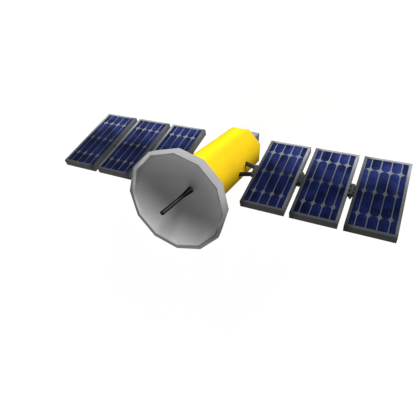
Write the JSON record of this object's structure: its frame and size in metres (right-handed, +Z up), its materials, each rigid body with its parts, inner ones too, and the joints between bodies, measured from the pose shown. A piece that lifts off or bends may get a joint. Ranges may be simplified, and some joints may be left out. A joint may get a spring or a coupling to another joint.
{
  "type": "communications satellite with a dish and two folding solar wings",
  "caption": "Gold satellite with an octagonal bus, a faceted dish with a feed mast, and folding solar wings on rotary drives.",
  "frame": {"origin": "centre of the aft box's underside, which the satellite stands on", "axes": "+Z up along the launch axis to the dish, X along the wings, the solar cells face -Y"},
  "size_m": [7.376, 2, 3.7579],
  "materials": {
    "bus_foil": "satin",
    "box_grey": "matte",
    "dish_grey": "satin",
    "hoop_grey": "satin",
    "feed_black": "matte",
    "yoke_black": "satin",
    "frame_grey": "matte",
    "board_grey": "satin",
    "cell_blue": "gloss",
    "hinge_dark": "satin"
  },
  "bodies": {
    "satellite_bus": {"bus_body": "bus_foil", "aft_deck": "bus_foil", "forward_deck": "bus_foil", "aft_box": "box_grey", "dish_reflector": "dish_grey", "dish_hoop": "hoop_grey", "dish_mount": "bus_foil", "feed_base": "feed_black", "feed_mast": "feed_black", "feed_tip": "feed_black"},
    "yoke_right": {"array_drive_right": "bus_foil", "yoke_head_right": "hinge_dark", "yoke_struts_right": "yoke_black"},
    "panel_right_1": {"panel_frame_right_1": "frame_grey", "panel_board_right_1": "board_grey", "panel_cells_right_1": "cell_blue", "hinge_lugs_right_1": "hinge_dark"},
    "panel_right_2": {"panel_frame_right_2": "frame_grey", "panel_board_right_2": "board_grey", "panel_cells_right_2": "cell_blue", "hinge_lugs_right_2": "hinge_dark"},
    "panel_right_3": {"panel_frame_right_3": "frame_grey", "panel_board_right_3": "board_grey", "panel_cells_right_3": "cell_blue", "hinge_lugs_right_3": "hinge_dark"},
    "yoke_left": {"array_drive_left": "bus_foil", "yoke_head_left": "hinge_dark", "yoke_struts_left": "yoke_black"},
    "panel_left_1": {"panel_frame_left_1": "frame_grey", "panel_board_left_1": "board_grey", "panel_cells_left_1": "cell_blue", "hinge_lugs_left_1": "hinge_dark"},
    "panel_left_2": {"panel_frame_left_2": "frame_grey", "panel_board_left_2": "board_grey", "panel_cells_left_2": "cell_blue", "hinge_lugs_left_2": "hinge_dark"},
    "panel_left_3": {"panel_frame_left_3": "frame_grey", "panel_board_left_3": "board_grey", "panel_cells_left_3": "cell_blue", "hinge_lugs_left_3": "hinge_dark"}
  },
  "joints": [
    {"name": "array_drive_right", "type": "hinge", "parent": "satellite_bus", "child": "yoke_right", "pos_m": [0.51, 0, 1.358], "axis": [1, 0, 0], "continuous": true},
    {"name": "root_fold_right", "type": "hinge", "parent": "yoke_right", "child": "panel_right_1", "pos_m": [0.773, 0, 1.358], "axis": [0, 0.3567, 0.9342], "range_deg": [0, 90]},
    {"name": "fold_1_2_right", "type": "hinge", "parent": "panel_right_1", "child": "panel_right_2", "pos_m": [1.762, -0.07661, 1.38725], "axis": [0, 0.3567, 0.9342], "range_deg": [-180, 0]},
    {"name": "fold_2_3_right", "type": "hinge", "parent": "panel_right_2", "child": "panel_right_3", "pos_m": [2.751, 0.07661, 1.32875], "axis": [0, 0.3567, 0.9342], "range_deg": [0, 180]},
    {"name": "array_drive_left", "type": "hinge", "parent": "satellite_bus", "child": "yoke_left", "pos_m": [-0.51, 0, 1.358], "axis": [1, 0, 0], "continuous": true},
    {"name": "root_fold_left", "type": "hinge", "parent": "yoke_left", "child": "panel_left_1", "pos_m": [-0.773, 0, 1.358], "axis": [0, -0.3567, -0.9342], "range_deg": [0, 90]},
    {"name": "fold_1_2_left", "type": "hinge", "parent": "panel_left_1", "child": "panel_left_2", "pos_m": [-1.762, -0.07661, 1.38725], "axis": [0, -0.3567, -0.9342], "range_deg": [-180, 0]},
    {"name": "fold_2_3_left", "type": "hinge", "parent": "panel_left_2", "child": "panel_left_3", "pos_m": [-2.751, 0.07661, 1.32875], "axis": [0, -0.3567, -0.9342], "range_deg": [0, 180]}
  ],
  "couplings": [
    {"joint": "fold_1_2_right", "follows": "root_fold_right", "ratio": -2},
    {"joint": "fold_2_3_right", "follows": "root_fold_right", "ratio": 2},
    {"joint": "fold_1_2_left", "follows": "root_fold_left", "ratio": -2},
    {"joint": "fold_2_3_left", "follows": "root_fold_left", "ratio": 2}
  ]
}
